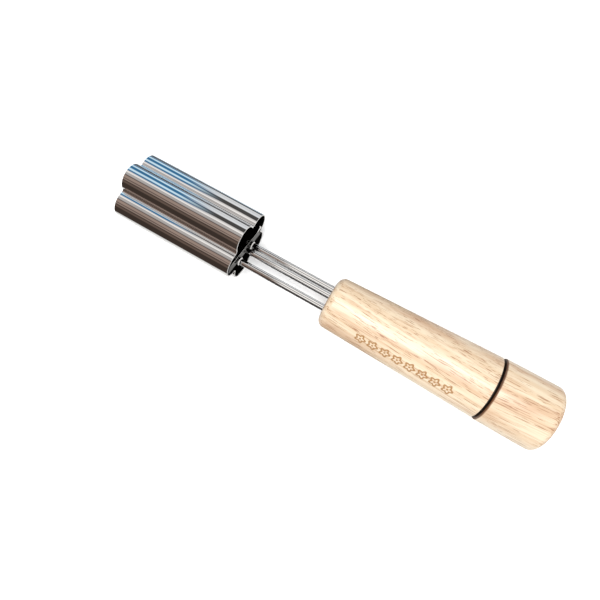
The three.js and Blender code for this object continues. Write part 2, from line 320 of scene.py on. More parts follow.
def burnt_flowers(nodes, place, start, grip_radius):
    """1 where the row of flowers is burnt, 0 elsewhere."""
    m = nodes.math
    along, across, up = nodes.parts(place)
    angle = m("ARCTAN2", m("SUBTRACT", up, AXIS_HEIGHT), m("SUBTRACT", across, HANDLE_AXIS[0]))
    sideways = m("MULTIPLY", m("SUBTRACT", angle, MARK_ANGLE), grip_radius)
    pitch = MARK_LENGTH / MARK_FLOWERS
    travelled = m("SUBTRACT", along, start)
    local = m("SUBTRACT", m("MODULO", travelled, pitch), pitch / 2)
    distance = m("SQRT", m("ADD", m("POWER", local, 2.0), m("POWER", sideways, 2.0)))
    turn = m("MULTIPLY", m("ARCTAN2", sideways, local), float(PETALS))
    outline = m("MULTIPLY_ADD", m("COSINE", turn), FLOWER_WAVE, FLOWER_MEAN_RADIUS)
    off_line = m("ABSOLUTE", m("SUBTRACT", distance, outline))
    soft = 0.1 * MM
    line = nodes.ease(off_line, FLOWER_LINE - soft, FLOWER_LINE + soft, 1.0, 0.0)
    eye = nodes.ease(distance, FLOWER_EYE - soft, FLOWER_EYE + soft, 1.0, 0.0)
    inside = m("MULTIPLY", m("GREATER_THAN", travelled, 0.0), m("LESS_THAN", travelled, MARK_LENGTH))
    return m("MULTIPLY", m("MAXIMUM", line, eye), inside)


RIM_STARTS = 10.5 * MM  # from the handle's axis
RIM_IN_FULL = 12.5 * MM


def near_rim(nodes, place):
    """1 at the outside of the handle, 0 on the inner part of an end face."""
    m = nodes.math
    _, across, up = nodes.parts(place)
    aside, above = m("SUBTRACT", across, HANDLE_AXIS[0]), m("SUBTRACT", up, AXIS_HEIGHT)
    radius = m("SQRT", m("ADD", m("POWER", aside, 2.0), m("POWER", above, 2.0)))
    return nodes.ease(radius, RIM_STARTS, RIM_IN_FULL)


def grip_wood():
    material, nodes, shader, place = new_material("grip_rubberwood")
    block_place = (0.02, 0.024, -0.009)
    block_turn = (radians(1.2), radians(-2.2), radians(2.6))
    colour, height = wood_grain(nodes, place, block_place, block_turn)
    (start, _, _), (end, _, top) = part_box("grip")
    mark = burnt_flowers(nodes, place, start + MARK_START, top - AXIS_HEIGHT)
    colour = nodes.mix(nodes.math("MULTIPLY", mark, 0.95), colour, BURNT_MARK)
    along = nodes.parts(place)[0]
    # Painted shade: the outer part of the grip's rear face, in the shadow of the gap to the knob, is painted
    # near black.
    joint = nodes.ease(along, end - 0.12 * MM, end - 0.04 * MM)
    gap_face_shade = nodes.math("MULTIPLY", joint, near_rim(nodes, place))
    colour = nodes.mix(nodes.math("MULTIPLY", gap_face_shade, 0.85), colour, PAINTED_SHADE_BLACK)
    # Painted shade: the front face and the start of its rounding are painted browner, where the front edge
    # turns away from the light.
    front = nodes.ease(along, start + 0.1 * MM, start + 0.9 * MM, 0.45, 0.0)
    colour = nodes.mix(front, colour, PAINTED_SHADE_BROWN)
    finish_wood(nodes, shader, colour, nodes.math("SUBTRACT", height, nodes.math("MULTIPLY", mark, 0.5)))
    return material


KNOB_CHAMFER = 0.5 * MM


def knob_wood():
    """The knob is a paler cut. Its front chamfer is painted brown and the outer part of its front face near
    black, as painted shade where the joint with the grip lies in shadow.
    """
    material, nodes, shader, place = new_material("knob_rubberwood")
    block_place = (-0.05, -0.021, 0.012)
    block_turn = (radians(-2), radians(3), radians(-3.4))
    colour, height = wood_grain(nodes, place, block_place, block_turn)
    start, end = span("push_knob")[:2]
    along = nodes.parts(place)[0]
    ragged = nodes.math("MULTIPLY_ADD", nodes.noise(place, 700.0, detail=3.0), 0.3 * MM, along)
    # Painted shade: brown over the front chamfer, which lies in the shadow of the joint with the grip.
    brown = nodes.ease(ragged, start + KNOB_CHAMFER, start + KNOB_CHAMFER + 0.7 * MM, 0.95, 0.0)
    # Painted shade: near black over the outer front face, in the shadow of the gap to the grip.
    black = nodes.ease(ragged, start + 0.05 * MM, start + 0.35 * MM, 0.9, 0.0)
    rear = nodes.ease(along, end - 1.6 * MM, end - 0.4 * MM, 0.0, 0.5)
    colour = nodes.mix(rear, colour, WOOD_EDGE)
    rim = near_rim(nodes, place)
    colour = nodes.mix(nodes.math("MULTIPLY", brown, rim), colour, PAINTED_SHADE_BROWN)
    colour = nodes.mix(nodes.math("MULTIPLY", black, rim), colour, PAINTED_SHADE_BLACK)
    finish_wood(nodes, shader, colour, height)
    return material


# Making pieces

def show(name, mesh, *materials):
    """Puts a mesh in the scene as a piece, with its materials."""
    piece = bpy.data.objects.new(name, mesh)
    bpy.context.scene.collection.objects.link(piece)
    for material in materials:
        mesh.materials.append(material)
    return piece


def bake(piece):
    """Turns the piece's modifiers into its mesh."""
    bpy.context.view_layer.update()
    evaluated = piece.evaluated_get(bpy.context.evaluated_depsgraph_get())
    mesh = bpy.data.meshes.new_from_object(evaluated)
    mesh.name = piece.name
    piece.modifiers.clear()
    piece.data = mesh


def smooth(piece, angle=32):
    """Smooth shading, with a hard line where faces meet at more than angle degrees."""
    piece.data.shade_smooth()
    piece.data.set_sharp_from_angle(angle=radians(angle))


BEVEL_ANGLE = radians(50)  # edges sharper than this are eased


def ease_edges(piece, width, material=-1):
    """A narrow bevel in two steps, which takes the given material slot."""
    edges = piece.modifiers.new("edges", "BEVEL")
    edges.width = width
    edges.segments = 2
    edges.limit_method = "ANGLE"
    edges.angle_limit = BEVEL_ANGLE
    edges.material = material


def finished(piece, body, slot, *nodes):
    smooth(piece)
    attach(piece, body)
    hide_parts(*nodes)


def rounded(corners, closed=False, steps=6):
    """Points of an outline whose corners, as (x, radius) or (x, radius, round), become arcs."""
    points = []
    for index, corner in enumerate(corners):
        here = Vector(corner[:2])
        ends = not closed and index in (0, len(corners) - 1)
        if len(corner) == 2 or ends:
            points.append(tuple(here))
            continue
        back = (Vector(corners[index - 1][:2]) - here).normalized()
        ahead = (Vector(corners[(index + 1) % len(corners)][:2]) - here).normalized()
        half = back.angle(ahead) / 2
        centre = here + (back + ahead).normalized() * corner[2] / sin(half)
        first = here + back * corner[2] / tan(half) - centre
        last = here + ahead * corner[2] / tan(half) - centre
        begin = atan2(first.y, first.x)
        sweep = (atan2(last.y, last.x) - begin + pi) % tau - pi
        for step in range(steps + 1):
            angle = begin + sweep * step / steps
            points.append((centre.x + corner[2] * cos(angle), centre.y + corner[2] * sin(angle)))
    return points


def turned_mesh(name, outline, centre=HANDLE_AXIS, sides=SIDES, bored=False):
    """Turns an outline of (x, radius) points about a line along X through centre.

    A solid piece's outline starts and ends on that line, and a bored piece's closes on itself.
    """
    shape = bmesh.new()
    rings = []
    for x, radius in outline:
        if radius < POLE:
            rings.append([shape.verts.new((x, *centre))])
            continue
        turns = [tau * side / sides for side in range(sides)]
        points = [(x, centre[0] + radius * cos(turn), centre[1] + radius * sin(turn)) for turn in turns]
        rings.append([shape.verts.new(point) for point in points])
    pairs = list(zip(rings, rings[1:]))
    if bored:
        pairs.append((rings[-1], rings[0]))
    for first, second in pairs:
        if len(first) + len(second) == 2:
            continue
        for side in range(sides):
            following = (side + 1) % sides
            corners = [
                first[side % len(first)],
                first[following % len(first)],
                second[following % len(second)],
                second[side % len(second)],
            ]
            shape.faces.new(dict.fromkeys(corners))
    bmesh.ops.recalc_face_normals(shape, faces=shape.faces)
    mesh = bpy.data.meshes.new(name)
    shape.to_mesh(mesh)
    shape.free()
    return mesh


def cut(piece, *tools):
    """Cuts the tools' meshes out of the piece."""
    for tool in tools:
        cutter = show("cutting_tool", tool)
        modifier = piece.modifiers.new("cut", "BOOLEAN")
        modifier.operation = "DIFFERENCE"
        modifier.solver = "EXACT"
        modifier.object = cutter
        bake(piece)
        bpy.data.objects.remove(cutter)


# The flower tube

def interface_inputs(tree, sizes):
    tree.interface.new_socket("Geometry", in_out="OUTPUT", socket_type="NodeSocketGeometry")
    for name, value in sizes.items():
        kind = "NodeSocketInt" if isinstance(value, int) else "NodeSocketFloat"
        socket = tree.interface.new_socket(name, in_out="INPUT", socket_type=kind)
        socket.default_value = value


def petal_rule():
    """The node group that says how far the wall is from the axis at an angle."""
    tree = bpy.data.node_groups.new("petal_rule", "GeometryNodeTree")
    for name in ("Angle", "Inset", "Petal Centre", "Petal Radius", "Fold Radius"):
        tree.interface.new_socket(name, in_out="INPUT", socket_type="NodeSocketFloat")
    tree.interface.new_socket("Distance", in_out="OUTPUT", socket_type="NodeSocketFloat")
    nodes = Nodes(tree)
    m = nodes.math
    given = nodes.add("NodeGroupInput").outputs
    centre = given["Petal Centre"]
    petal_round = m("SUBTRACT", given["Petal Radius"], given["Inset"])
    fold_round = m("ADD", given["Fold Radius"], given["Inset"])

    def square(value):
        return m("POWER", value, 2.0)

    def root_of_difference(first, second):
        return m("SQRT", m("MAXIMUM", m("SUBTRACT", square(first), square(second)), 0.0))

    off_petal = m("WRAP", m("SUBTRACT", given["Angle"], FIRST_PETAL), HALF_PETAL, -HALF_PETAL)
    half_chord = m("MULTIPLY", centre, m("SINE", off_petal))
    petal = m("MULTIPLY_ADD", centre, m("COSINE", off_petal), root_of_difference(petal_round, half_chord))

    reach = m("ADD", given["Petal Radius"], given["Fold Radius"])
    across = m("MULTIPLY", centre, sin(HALF_PETAL))
    fold_centre = m("MULTIPLY_ADD", centre, cos(HALF_PETAL), root_of_difference(reach, across))
    off_fold = m("SUBTRACT", HALF_PETAL, m("ABSOLUTE", off_petal))
    fold_chord = m("MULTIPLY", fold_centre, m("SINE", off_fold))
    fold_back = m("MULTIPLY", root_of_difference(fold_round, fold_chord), -1.0)
    fold = m("MULTIPLY_ADD", fold_centre, m("COSINE", off_fold), fold_back)

    fold_across = m("MULTIPLY", fold_centre, sin(HALF_PETAL))
    fold_along = m("SUBTRACT", m("MULTIPLY", fold_centre, cos(HALF_PETAL)), centre)
    sweep = m("ARCTAN2", fold_across, fold_along)
    touch_across = m("MULTIPLY", petal_round, m("SINE", sweep))
    touch_along = m("MULTIPLY_ADD", petal_round, m("COSINE", sweep), centre)
    tangent = m("ARCTAN2", touch_across, touch_along)
    on_fold = m("GREATER_THAN", m("ABSOLUTE", off_petal), tangent)
    distance = m("ADD", m("MULTIPLY", fold, on_fold), m("MULTIPLY", petal, m("SUBTRACT", 1.0, on_fold)))
    nodes.add("NodeGroupOutput", {"Distance": distance})
    return tree


def flower_wall(rule, material):
    """A sheet bent round the flower, lapped over its own start, with the slight ripple of rolled metal."""
    tree = bpy.data.node_groups.new("flower_wall", "GeometryNodeTree")
    interface_inputs(tree, {
        "Rows Around": 720,
        "Rows Along": 49,
        "Seam Angle": 0.0,
        "Turn": tau,
        "Start": 0.0,
        "Length": 0.05,
        "Axis Across": 0.0,
        "Axis Height": 0.015,
        "Petal Centre": 0.01,
        "Petal Radius": 0.006,
        "Fold Radius": 0.001,
        "Joggle": 0.0,
        "Joggle From": 0.0,
        "Joggle To": 1.0,
        "Ripple": 0.0,
    })
    nodes = Nodes(tree)
    m = nodes.math
    given = nodes.add("NodeGroupInput").outputs
    grid = nodes.add("GeometryNodeMeshGrid", {
        "Size X": 1.0,
        "Size Y": 1.0,
        "Vertices X": given["Rows Along"],
        "Vertices Y": given["Rows Around"],
    }).outputs["Mesh"]
    along, around, _ = nodes.parts(nodes.add("GeometryNodeInputPosition").outputs[0])
    angle = m("MULTIPLY_ADD", m("ADD", around, 0.5), given["Turn"], given["Seam Angle"])
    crowded_at_rims = nodes.ease(along, -0.5, 0.5)
    x = m("MULTIPLY_ADD", crowded_at_rims, given["Length"], given["Start"])
    joggle = nodes.ease(angle, given["Joggle From"], given["Joggle To"], 0.0, given["Joggle"])
    round_and_round = nodes.add("ShaderNodeCombineXYZ", {
        "X": m("MULTIPLY", x, 26.0),
        "Y": m("MULTIPLY", m("COSINE", angle), 1.5),
        "Z": m("MULTIPLY", m("SINE", angle), 1.5),
    }).outputs[0]
    ripple = m("MULTIPLY", m("SUBTRACT", nodes.noise(round_and_round, 1.0, detail=2.0), 0.5), given["Ripple"])
    wall = nodes.add("GeometryNodeGroup", node_tree=rule)
    for name in ("Petal Centre", "Petal Radius", "Fold Radius"):
        nodes.put(wall.inputs[name], given[name])
    nodes.put(wall.inputs["Angle"], angle)
    nodes.put(wall.inputs["Inset"], m("ADD", joggle, ripple))
    distance = wall.outputs["Distance"]
    place = nodes.add("ShaderNodeCombineXYZ", {
        "X": x,
        "Y": m("MULTIPLY_ADD", distance, m("COSINE", angle), given["Axis Across"]),
        "Z": m("MULTIPLY_ADD", distance, m("SINE", angle), given["Axis Height"]),
    }).outputs[0]
    bent = nodes.add("GeometryNodeSetPosition", {"Geometry": grid, "Position": place}).outputs[0]
    outwards = nodes.add("GeometryNodeFlipFaces", {"Mesh": bent}).outputs[0]
    real = nodes.add("GeometryNodeRealizeInstances", {"Geometry": outwards}).outputs[0]
    coated = nodes.add("GeometryNodeSetMaterial", {"Geometry": real, "Material": material}).outputs[0]
    nodes.add("NodeGroupOutput", {"Geometry": coated})
    return tree


SEAM_ANGLE = FIRST_PETAL + 4 * HALF_PETAL  # on the petal that lies down on the near side
LAP = radians(9)
LAP_LEAD = radians(4)  # the sheet steps inwards over this turn
LAP_GAP = 0.05 * MM
RIM_ROUND = 0.12 * MM


def add_sleeve(steel, inside):
    piece = show("flower_tube", bpy.data.meshes.new("flower_tube"))
    tree = flower_wall(petal_rule(), steel)
    modifier = piece.modifiers.new("flower wall", "NODES")
    modifier.node_group = tree
    sizes = {
        "Seam Angle": SEAM_ANGLE,
        "Turn": tau + LAP,
        "Start": SLEEVE_START,
        "Length": SLEEVE_END - SLEEVE_START,
        "Axis Across": FLOWER_AXIS[0],
        "Axis Height": FLOWER_AXIS[1],
        "Petal Centre": PETAL_CENTRE,
        "Petal Radius": PETAL_RADIUS,
        "Fold Radius": FOLD_RADIUS,
        "Joggle": SLEEVE_SHEET + LAP_GAP,
        "Joggle From": SEAM_ANGLE + tau - LAP_LEAD - radians(0.6),
        "Joggle To": SEAM_ANGLE + tau - radians(0.6),
        "Ripple": 0.07 * MM,
    }
    for socket in tree.interface.items_tree:
        if socket.name in sizes:
            modifier[socket.identifier] = sizes[socket.name]
    bake(piece)
    piece.data.materials.clear()
    piece.data.materials.append(steel)
    piece.data.materials.append(inside)
    # The inner face takes the steel painted near black, as painted shade inside the tube.
    sheet = piece.modifiers.new("sheet", "SOLIDIFY")
    sheet.thickness = SLEEVE_SHEET
    sheet.offset = -1.0
    sheet.use_even_offset = True
    sheet.material_offset = 1
    sheet.material_offset_rim = 0
    ease_edges(piece, RIM_ROUND)
    bake(piece)
    finished(piece, "handle", "mirror_steel", "cutter_sleeve")


# The strap that holds the rods in the tube's rear mouth

STRAP_SHEET = 0.8 * MM
STRAP_WIDTH = 4.4 * MM
STRAP_FLANGE = 6.0 * MM
STRAP_BEND = 1.1 * MM  # outer bend between a flange and the bridge
STRAP_EDGE = 0.14 * MM
STRAP_COLUMNS = 24
BEND_STEPS = 6


def reach_to_petal(side, inset):
    """From the axis to the wall along a petal's middle line, at a distance to the side of it."""
    return PETAL_CENTRE + sqrt((PETAL_RADIUS - inset) ** 2 - side ** 2)


def reach_to_fold(side, inset):
    """The same along the line through a fold, whose wall stands towards the axis."""
    petal_round = PETAL_RADIUS - inset
    petal_along = PETAL_CENTRE * cos(HALF_PETAL)
    petal_across = PETAL_CENTRE * sin(HALF_PETAL)
    towards_fold = petal_across / (PETAL_RADIUS + FOLD_RADIUS)
    tangent_side = petal_across - petal_round * towards_fold
    if abs(side) < tangent_side:
        return FOLD_DISTANCE - sqrt((FOLD_RADIUS + inset) ** 2 - side ** 2)
    return petal_along + sqrt(petal_round ** 2 - (petal_across - abs(side)) ** 2)


def strap_path(side):
    """One column of the strap, as (x, distance towards the petal): flange, bend, bridge, bend, flange."""
    wall_gap = SLEEVE_SHEET + PRESS_CLEARANCE
    petal = reach_to_petal(side, wall_gap)
    fold = -reach_to_fold(side, wall_gap)
    front = SLEEVE_END - STRAP_FLANGE
    corners = [
        (front, petal),
        (SLEEVE_END, petal, STRAP_BEND),
        (SLEEVE_END, fold, STRAP_BEND),
        (front, fold),
    ]
    path = rounded(corners, steps=BEND_STEPS)
    middle = len(path) // 2
    bridge = [
        tuple(Vector(path[middle - 1]).lerp(Vector(path[middle]), step / 8))
        for step in range(1, 8)
    ]
    return path[:middle] + bridge + path[middle:]


def bore(name, radius, start, end, centre, sides=ROD_SIDES):
    return turned_mesh(name, [(start, 0), (start, radius), (end, radius), (end, 0)], centre, sides)


def add_strap(dark, bright):
    out = Vector((0, cos(STRAP_TURN), sin(STRAP_TURN)))
    aside = Vector((0, -sin(STRAP_TURN), cos(STRAP_TURN)))
    axis = Vector((0, *FLOWER_AXIS))
    shape = bmesh.new()
    columns = []
    for column in range(STRAP_COLUMNS + 1):
        side = STRAP_WIDTH * (column / STRAP_COLUMNS - 0.5)
        column_axis = axis + aside * side
        points = [column_axis + Vector((x, 0, 0)) + out * distance for x, distance in strap_path(side)]
        columns.append([shape.verts.new(point) for point in points])
    for first, second in zip(columns, columns[1:]):
        for row in range(len(first) - 1):
            shape.faces.new((first[row], first[row + 1], second[row + 1], second[row]))
    mesh = bpy.data.meshes.new("mouth_strap")
    shape.to_mesh(mesh)
    shape.free()
    # The strap's faces take the steel painted near black as painted shade, and its edges the polished steel.
    piece = show("mouth_strap", mesh, dark, bright)
    bridge_faces = [face.normal.x for face in mesh.polygons if abs(face.normal.x) > 0.9]
    if sum(bridge_faces) < 0:
        mesh.flip_normals()
    sheet = piece.modifiers.new("sheet", "SOLIDIFY")
    sheet.thickness = STRAP_SHEET
    sheet.offset = -1.0
    sheet.material_offset_rim = 1
    bake(piece)
    back = SLEEVE_END - 3 * MM
    front = SLEEVE_END + 1 * MM
    upper, lower = span("support_rod_upper")[2], span("support_rod_lower")[2]
    cut(
        piece,
        bore("rod_hole", ROD_RADIUS + SLIDE_CLEARANCE, back, front, PLUNGER_LINE),
        bore("upper_tenon_hole", TENON_RADIUS + PRESS_CLEARANCE, back, front, upper),
        bore("lower_tenon_hole", TENON_RADIUS + PRESS_CLEARANCE, back, front, lower),
    )
    ease_edges(piece, STRAP_EDGE, material=1)
    bake(piece)
    finished(piece, "handle", "mirror_steel", "rear_strap")


# Rods and what is on their ends

TENON_RADIUS = 0.9 * MM
TENON_HEAD = 0.7 * MM


def add_support_rod(which, steel):
    """Peened head, tenon through the strap, full rod with eased ends."""
    start, end, middle, head = span("support_rod_" + which)
    shoulder = SLEEVE_END + PRESS_CLEARANCE
    strap_front = start + TENON_HEAD
    outline = rounded([
        (start, 0),
        (start, head * 0.8, 0.3 * MM),
        (start + TENON_HEAD * 0.5, head, 0.15 * MM),
        (strap_front, head, 0.06 * MM),
        (strap_front, TENON_RADIUS),
        (shoulder, TENON_RADIUS),
        (shoulder, ROD_RADIUS, 0.12 * MM),
        (end, ROD_RADIUS, 0.25 * MM),
        (end, 0),
    ])
    piece = show("fixed_rod_" + which, turned_mesh("fixed_rod", outline, middle, ROD_SIDES), steel)
    finished(piece, "handle", "rod_steel", "support_rod_" + which)


def add_collar(which, steel):
    """A plump bright ring where the rod meets the strap."""
    start, end, middle, outer = span("rod_collar_" + which)
    inner = ROD_RADIUS + PRESS_CLEARANCE
    plump = (outer - inner) * 0.48
    outline = rounded([
        (start, inner, 0.05 * MM),
        (start, outer, plump),
        (end, outer, plump),
        (end, inner, 0.05 * MM),
    ], closed=True)
    mesh = turned_mesh("rod_ferrule", outline, middle, ROD_SIDES, bored=True)
    finished(show("rod_ferrule_" + which, mesh, steel), "handle", "mirror_steel", "rod_collar_" + which)


def add_plunger_rod(steel):
    start, end, _, radius = span("plunger_rod")
    outline = rounded([(start, 0), (start, radius, 0.25 * MM), (end, radius, 0.25 * MM), (end, 0)])
    piece = show("push_rod", turned_mesh("push_rod", outline, PLUNGER_LINE, ROD_SIDES), steel)
    finished(piece, "plunger", "rod_steel", "plunger_rod")


# Wooden pieces

GRIP_EDGE_ROUND = 3.4 * MM
GRIP_REAR_EDGE = 0.18 * MM
KNOB_EDGE_ROUND = 3.2 * MM


def add_grip(wood):
    (start, _, _), (end, _, _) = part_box("grip")
    front_radius = 11.9 * MM
    rear_radius = span("grip")[3]
    bush_start, _, _, bush_radius = span("guide_bush")
    seat_start = bush_start - PRESS_CLEARANCE
    outline = rounded([
        (start, 0),
        (start, front_radius, GRIP_EDGE_ROUND),
        (end, rear_radius, GRIP_REAR_EDGE),
        (end, 0),
    ], steps=12)
    piece = show("wooden_grip", turned_mesh("wooden_grip", outline), wood)
    socket_end = span("support_rod_upper")[1] + PRESS_CLEARANCE
    before = start - 1 * MM
    cut(
        piece,
        bore("rod_bore", ROD_RADIUS + SLIDE_CLEARANCE, before, end + 1 * MM, PLUNGER_LINE),
        bore("bush_seat", bush_radius + PRESS_CLEARANCE, seat_start, end + 1 * MM, PLUNGER_LINE),
        bore("upper_socket", ROD_RADIUS + PRESS_CLEARANCE, before, socket_end, span("support_rod_upper")[2]),
        bore("lower_socket", ROD_RADIUS + PRESS_CLEARANCE, before, socket_end, span("support_rod_lower")[2]),
    )
    finished(piece, "handle", "rubberwood", "grip")


def add_knob(wood):
    start, end, _, rear_radius = span("push_knob")
    front_radius = 14.65 * MM
    _, insert_end, _, insert_radius = span("knob_insert")
    outline = rounded([
        (start, 0),
        (start, front_radius - KNOB_CHAMFER, 0.2 * MM),
        (start + KNOB_CHAMFER, front_radius, 0.4 * MM),
        (end, rear_radius, KNOB_EDGE_ROUND),
        (end, 0),
    ], steps=12)
    piece = show("wooden_knob", turned_mesh("wooden_knob", outline), wood)
    bore_radius = insert_radius + PRESS_CLEARANCE
    cut(piece, bore("insert_bore", bore_radius, start - 1 * MM, insert_end + PRESS_CLEARANCE, PLUNGER_LINE))
    finished(piece, "plunger", "rubberwood", "push_knob")


# Rings, hub, plate and screw

def add_ring(name, node, body, slot, material, inner, round_edge):
    start, end, middle, outer = span(node)
    outline = rounded([
        (start, inner, round_edge),
        (start, outer, round_edge),
        (end, outer, round_edge),
        (end, inner, round_edge),
    ], closed=True, steps=4)
    finished(show(name, turned_mesh(name, outline, middle, 96, bored=True), material), body, slot, node)


def flower_distance(angle, inset):
    """How far the flower's outline, moved inwards by inset, is from the axis."""
    off_petal = (angle - FIRST_PETAL + HALF_PETAL) % (2 * HALF_PETAL) - HALF_PETAL
    petal_round = PETAL_RADIUS - inset
    tangent = atan2(petal_round * sin(PETAL_SWEEP), PETAL_CENTRE + petal_round * cos(PETAL_SWEEP))
    if abs(off_petal) <= tangent:
        half_chord = PETAL_CENTRE * sin(off_petal)
        return PETAL_CENTRE * cos(off_petal) + sqrt(petal_round ** 2 - half_chord ** 2)
    off_fold = HALF_PETAL - abs(off_petal)
    half_chord = FOLD_DISTANCE * sin(off_fold)
    return FOLD_DISTANCE * cos(off_fold) - sqrt((FOLD_RADIUS + inset) ** 2 - half_chord ** 2)


PLATE_POINTS = 400
PLATE_EDGE = 0.15 * MM
SCREW_SHANK = 1.1 * MM


def add_ejector_plate(steel):
    """A flower blanked from sheet, with a hole for its screw."""
    (start, _, _), (end, _, top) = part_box("ejector_plate")
    inset = PETAL_CENTRE + PETAL_RADIUS - (top - AXIS_HEIGHT)
    shape = bmesh.new()
    loops = []
    for x in (start, end):
        edge, hole = Vector((x, *FLOWER_AXIS)), Vector((x, *PLUNGER_LINE))
        outer, inner = [], []
        for point in range(PLATE_POINTS):
            angle = tau * point / PLATE_POINTS
            direction = Vector((0, cos(angle), sin(angle)))
            outer.append(shape.verts.new(edge + direction * flower_distance(angle, inset)))
            inner.append(shape.verts.new(hole + direction * (SCREW_SHANK + PRESS_CLEARANCE)))
        loops += [outer, inner]
    front_outer, front_inner, rear_outer, rear_inner = loops
    for first, second in (
        (front_outer, front_inner),
        (front_inner, rear_inner),
        (rear_inner, rear_outer),
        (rear_outer, front_outer),
    ):
        for point in range(PLATE_POINTS):
            following = (point + 1) % PLATE_POINTS
            shape.faces.new((first[point], first[following], second[following], second[point]))
    bmesh.ops.recalc_face_normals(shape, faces=shape.faces)
    mesh = bpy.data.meshes.new("flower_plate")
    shape.to_mesh(mesh)
    shape.free()
    piece = show("flower_plate", mesh, steel)
    ease_edges(piece, PLATE_EDGE)
    bake(piece)
    finished(piece, "plunger", "mirror_steel", "ejector_plate")


SCREW_HEAD = 0.9 * MM
SCREW_SLOT_WIDTH = 0.7 * MM
SCREW_SLOT_DEPTH = 0.5 * MM


def add_plate_screw(steel):
    start, end, _, head = span("plate_screw")
    outline = rounded([
        (start, 0),
        (start, head * 0.75, 0.5 * MM),
        (start + SCREW_HEAD * 0.55, head, 0.25 * MM),
        (start + SCREW_HEAD, head, 0.05 * MM),
        (start + SCREW_HEAD, SCREW_SHANK),
        (end, SCREW_SHANK, 0.2 * MM),
        (end, 0),
    ])
    piece = show("plate_slot_screw", turned_mesh("plate_slot_screw", outline, PLUNGER_LINE, ROD_SIDES), steel)
    slot = bpy.data.meshes.new("slot_tool")
    shape = bmesh.new()
    size = Matrix.Diagonal((2 * SCREW_SLOT_DEPTH, 3 * head, SCREW_SLOT_WIDTH, 1))
    place = Matrix.Translation((start, *PLUNGER_LINE)) @ Matrix.Rotation(radians(25), 4, "X")
    bmesh.ops.create_cube(shape, size=1.0, matrix=place @ size)
    shape.to_mesh(slot)
    shape.free()
    cut(piece, slot)
    finished(piece, "plunger", "rod_steel", "plate_screw")


# The room, the light and the camera

CAMERA_PLACE = Vector((0.01806, -0.06114, 0.24121))
CAMERA_AZIMUTH = radians(29.33)  # 0 looks along +Y, and a quarter turn looks along -X
CAMERA_ELEVATION = radians(75.08)
CAMERA_ROLL = radians(0.63)
CAMERA_LENS = 31.52  # millimetres, on a 36 mm square sensor

# What the polished steel sees: a plain room, as soft-edged stretches round the tool's axis. Each is
# its middle and width, in degrees from +Y up over the top, and its colour. Later ones cover earlier.
SHEET_WHITE = paint(236, 235, 232)
WALL_WHITE = paint(226, 228, 230)
LAMP_WHITE = paint(248, 244, 240)
CEILING_GREY = paint(180, 175, 172)
SHADOW_GREY = paint(74, 73, 72)
SKY_BLUE = paint(55, 110, 150)
SKY_PALE = paint(205, 232, 245)
HAZE_BLUE = paint(165, 185, 200)
CLOTH_TAUPE = paint(155, 135, 124)
WOOD_BROWN = paint(100, 84, 75)
WOOD_UMBER = paint(60, 50, 44)
BEHIND = paint(232, 230, 227)

ALL_ROUND = (
    (-90, 90, SHEET_WHITE),
    (-45, 25, HAZE_BLUE),
    (-20, 15, SHADOW_GREY),
    (10, 45, WALL_WHITE),
    (50, 30, SHADOW_GREY),
    (75, 20, LAMP_WHITE),
    (95, 20, CEILING_GREY),
    (120, 20, CLOTH_TAUPE),
    (140, 10, CLOTH_TAUPE),
    (160, 15, WOOD_BROWN),
)
OVERHEAD = (
    (-100, 130, SHADOW_GREY),
    (10, 25, WALL_WHITE),
    (30, 20, SHADOW_GREY),
    (65, 50, LAMP_WHITE),
    (100, 15, SHADOW_GREY),
    (130, 40, LAMP_WHITE),
    (165, 20, SHADOW_GREY),
)
WINDOW_MIDDLE = 30
WINDOW_WIDTH = 80
PANES = 2
PANE_WIDTH = 16
WINDOW = ((WINDOW_MIDDLE, WINDOW_WIDTH, SKY_BLUE),) + tuple(
    (WINDOW_MIDDLE + (pane - (PANES - 1) / 2) * WINDOW_WIDTH / PANES, PANE_WIDTH, SKY_PALE)
    for pane in range(PANES)
)
EDGE_SOFTNESS = 3.5  # degrees
# How far towards -X a direction leans where each part of the room gives way to the next
OVERHEAD_ENDS = (0.21, 0.26)
WINDOW_STARTS = (0.33, 0.41)
BEHIND_ENDS = (-0.12, 0.0)
STREAKS_PER_DEGREE = 0.3  # for the uneven things that stand about in a room
STREAK_DEPTH = 0.4
WAVER = 8.0  # degrees by which the edges of things wander
DAYLIGHT = 0.62  # even light on everything that isn't polished


def furnish(nodes, degrees, colour, stretches):
    """Lays the stretches over a colour."""
    for middle, width, paint_colour in stretches:
        off_middle = nodes.math("WRAP", nodes.math("SUBTRACT", degrees, middle), 180.0, -180.0)
        away = nodes.math("ABSOLUTE", off_middle)
        covers = nodes.ease(away, width / 2 - EDGE_SOFTNESS, width / 2 + EDGE_SOFTNESS, 1.0, 0.0)
        colour = nodes.mix(covers, colour, paint_colour)
    return colour


